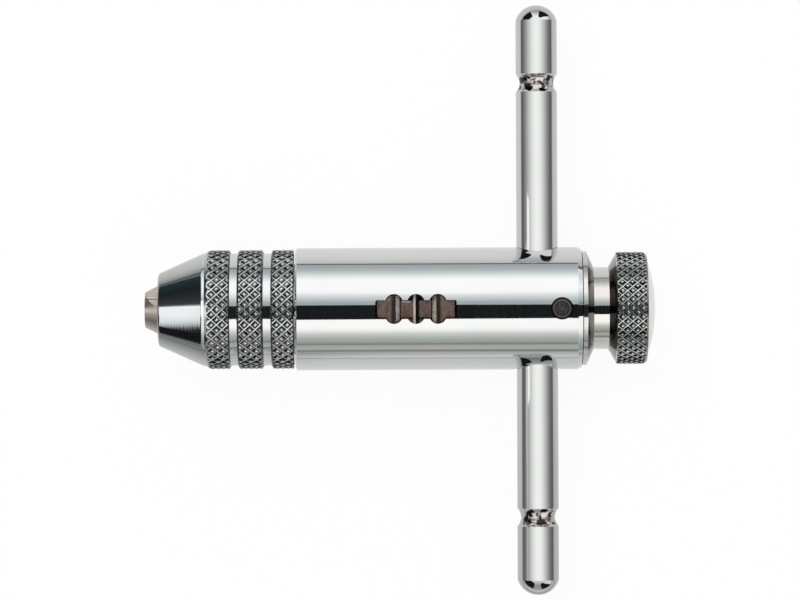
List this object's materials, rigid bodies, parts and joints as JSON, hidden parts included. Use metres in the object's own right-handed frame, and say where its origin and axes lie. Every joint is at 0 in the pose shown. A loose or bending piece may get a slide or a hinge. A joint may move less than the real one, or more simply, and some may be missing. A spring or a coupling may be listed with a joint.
{
  "type": "ratchet tap wrench",
  "caption": "Reversible ratchet tap wrench: two-jaw chuck with a knurled nose, plated barrel, sliding cross bar and a push-pull selector knob.",
  "frame": {"origin": "on the tool axis, in the plane of the closed jaws' front faces", "axes": "-X out of the jaws along the tool axis (+X towards the selector knob), +Y along the sliding bar, +Z out through the pawl window"},
  "size_m": [0.085, 0.0984, 0.0204],
  "materials": {
    "chrome": "polished plating",
    "turned_steel": "fine turned, bare",
    "jaw_steel": "ground, bare",
    "pawl_steel": "hardened, satin",
    "spindle_steel": "turned and oiled",
    "spring_steel": "tempered",
    "plug_steel": "blackened"
  },
  "bodies": {
    "housing": {"housing": "chrome", "rear_bush": "turned_steel", "detent_plug": "plug_steel", "detent_spring": "spring_steel", "detent_ball": "spindle_steel", "pawl_pin": "pawl_steel", "spindle_ring": "spring_steel", "thrust_washer": "spindle_steel"},
    "spindle": {"spindle": "spindle_steel", "front_ratchet_ring": "pawl_steel", "rear_ratchet_ring": "pawl_steel", "ring_spacer": "spindle_steel", "shank_clip": "spring_steel", "jaw_spring": "spring_steel"},
    "nose_stop_ring": {"nose_stop_ring": "spring_steel"},
    "nose": {"chuck_nose": "chrome"},
    "jaw_a": {"jaw_a": "jaw_steel"},
    "jaw_b": {"jaw_b": "jaw_steel"},
    "selector": {"selector_knob": "turned_steel", "shift_fork": "spring_steel", "fork_pin": "spindle_steel"},
    "pawl": {"pawl": "pawl_steel"},
    "bar": {"sliding_bar": "chrome"}
  },
  "joints": [
    {"name": "spindle_turn", "type": "hinge", "parent": "housing", "child": "spindle", "pos_m": [0, 0, 0], "axis": [1, 0, 0], "continuous": true},
    {"name": "nose_advance", "type": "slide", "parent": "spindle", "child": "nose_stop_ring", "axis": [-1, 0, 0], "range_m": [0, 0.00424]},
    {"name": "nose_turn", "type": "hinge", "parent": "nose_stop_ring", "child": "nose", "pos_m": [0, 0, 0], "axis": [-1, 0, 0], "range_deg": [0, 1527.36]},
    {"name": "jaw_a_slide", "type": "slide", "parent": "spindle", "child": "jaw_a", "axis": [0, 0.7071, -0.7071], "range_m": [0, 0.00212]},
    {"name": "jaw_b_slide", "type": "slide", "parent": "spindle", "child": "jaw_b", "axis": [0, -0.7071, 0.7071], "range_m": [0, 0.00212]},
    {"name": "selector_slide", "type": "slide", "parent": "housing", "child": "selector", "axis": [1, 0, 0], "range_m": [-0.00245, 0.00245]},
    {"name": "pawl_rock", "type": "hinge", "parent": "housing", "child": "pawl", "pos_m": [0.0451, 0, 0.0083], "axis": [0, 1, 0], "range_deg": [-5.6, 5.6]},
    {"name": "bar_slide", "type": "slide", "parent": "housing", "child": "bar", "axis": [0, 1, 0], "range_m": [-0.03757, 0.03483]}
  ],
  "couplings": [
    {"joint": "nose_turn", "follows": "nose_advance", "rad_per_m": 6283.2},
    {"joint": "jaw_a_slide", "follows": "nose_advance", "ratio": 0.5},
    {"joint": "jaw_b_slide", "follows": "nose_advance", "ratio": 0.5},
    {"joint": "pawl_rock", "follows": "selector_slide", "rad_per_m": -39.106}
  ]
}
